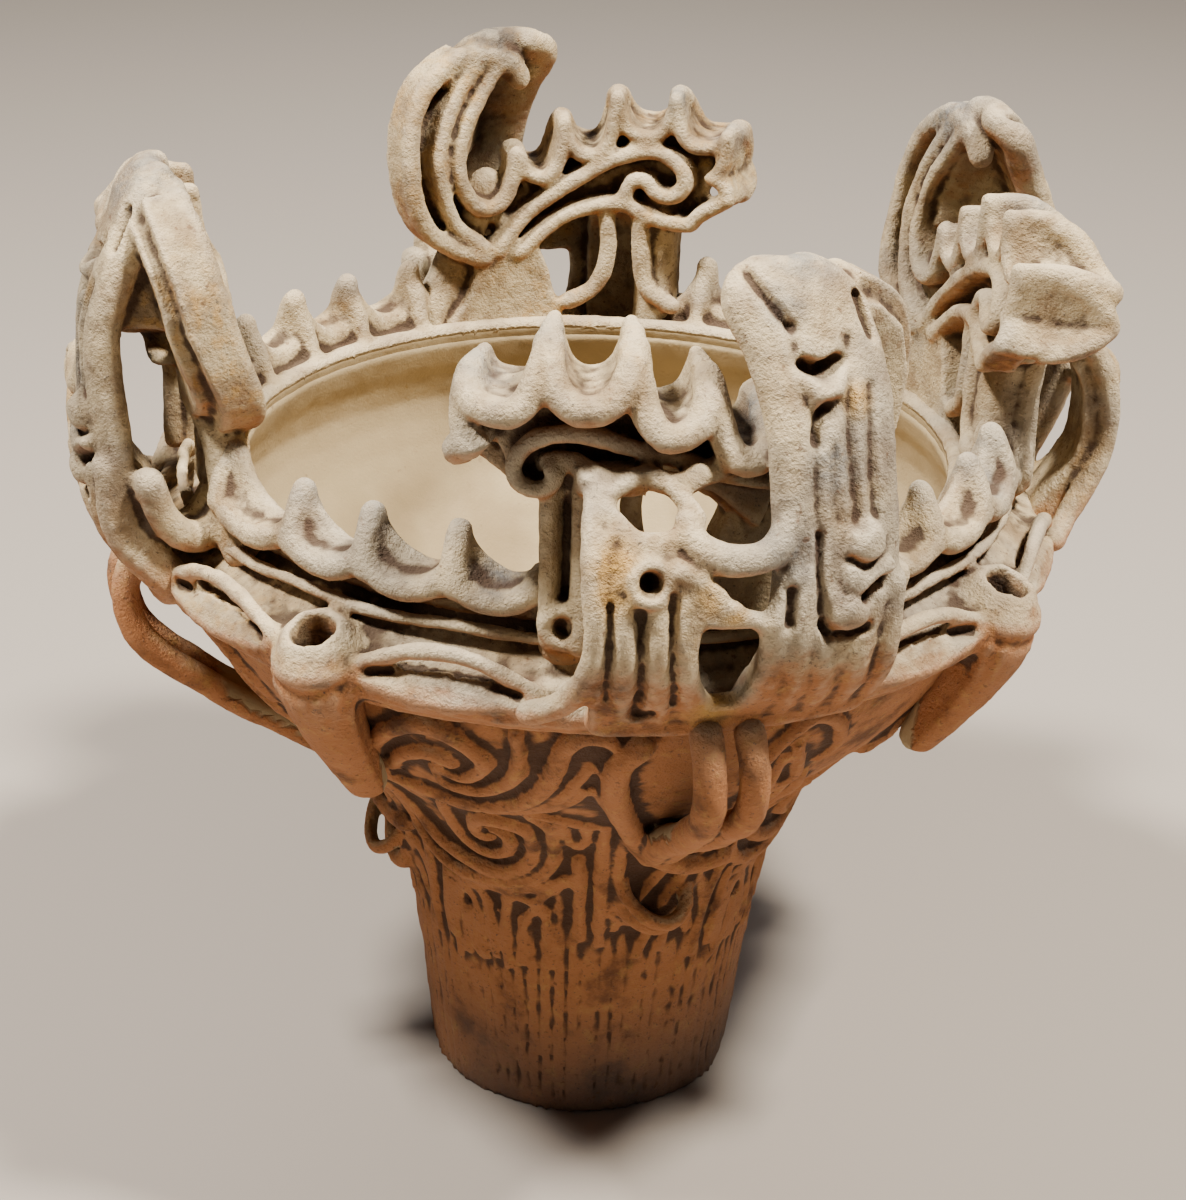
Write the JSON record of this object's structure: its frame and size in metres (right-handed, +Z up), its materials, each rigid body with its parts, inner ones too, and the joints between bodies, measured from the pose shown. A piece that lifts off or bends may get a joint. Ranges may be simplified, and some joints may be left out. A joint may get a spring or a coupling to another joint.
{
  "type": "flame-style pot",
  "caption": "Deep hollow clay pot with flared shoulder scrolls, toothed rim, ring spouts and pierced crested handles.",
  "frame": {"origin": "centre of the flat underside, on the turning axis of the vessel", "axes": "+Z up along the vessel's axis, -Y towards the handle that faces the viewer"},
  "size_m": [0.321, 0.3218, 0.3173],
  "materials": {
    "fired_clay": "matt"
  },
  "bodies": {
    "root": {"pot": "fired_clay"}
  },
  "joints": []
}
